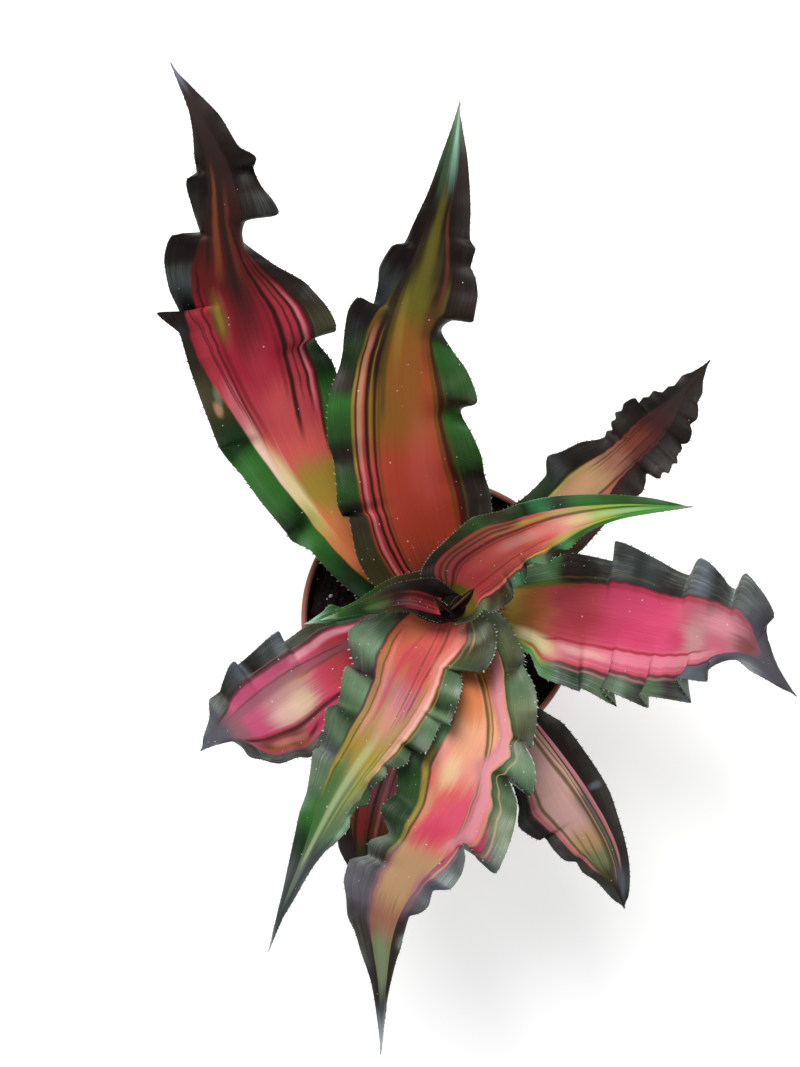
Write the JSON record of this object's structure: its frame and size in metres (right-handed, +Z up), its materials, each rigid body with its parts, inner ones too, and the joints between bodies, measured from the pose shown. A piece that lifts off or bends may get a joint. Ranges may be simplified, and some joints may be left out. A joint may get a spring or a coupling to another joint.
{
  "type": "potted earth star bromeliad",
  "caption": "Earth star bromeliad in a small tapered nursery pot: a low rosette of striped, crinkle-edged leaves spreading over dark soil.",
  "frame": {"origin": "middle of the flat foot of the pot, on the surface that the pot stands on", "axes": "+Z up, +X to the plant's right and +Y to its back as seen from in front, looking down"},
  "size_m": [0.187, 0.269, 0.1684],
  "materials": {
    "pot_plastic": "thin moulded terracotta-coloured plastic, slightly dusty",
    "potting_soil": "damp dark peat with bark crumbs and pale grit",
    "stem_bark": "short fibrous stem",
    "leaf_front_low": "leathery leaf, brown rose with dark edges",
    "leaf_front_right": "leathery leaf, dusty pink with charcoal edges",
    "leaf_back_right": "leathery leaf, dark brown with a tan stripe",
    "leaf_left": "leathery leaf, pink and cream with charcoal edges",
    "leaf_right": "leathery leaf, hot pink with green grey edges",
    "leaf_back_left": "leathery leaf, crimson with dark stripes",
    "leaf_front": "leathery leaf, orange, pink and olive stripes",
    "leaf_back": "leathery leaf, brick red and olive with green edges",
    "leaf_front_left": "leathery leaf, coral to green with silvery edges",
    "leaf_heart_lower": "leathery young leaf, olive green",
    "leaf_young_right": "leathery young leaf, coral with green edges",
    "leaf_heart_upper": "leathery young leaf, dark red and olive",
    "bud_skin": "youngest leaves, nearly black red"
  },
  "bodies": {
    "root": {"pot": "pot_plastic", "soil": "potting_soil", "stem": "stem_bark", "leaf_front_low": "leaf_front_low", "leaf_front_right": "leaf_front_right", "leaf_back_right": "leaf_back_right", "leaf_left": "leaf_left", "leaf_right": "leaf_right", "leaf_back_left": "leaf_back_left", "leaf_front": "leaf_front", "leaf_back": "leaf_back", "leaf_front_left": "leaf_front_left", "leaf_heart_lower": "leaf_heart_lower", "leaf_young_right": "leaf_young_right", "leaf_heart_upper": "leaf_heart_upper", "bud_right": "bud_skin", "bud_left": "bud_skin"}
  },
  "joints": []
}
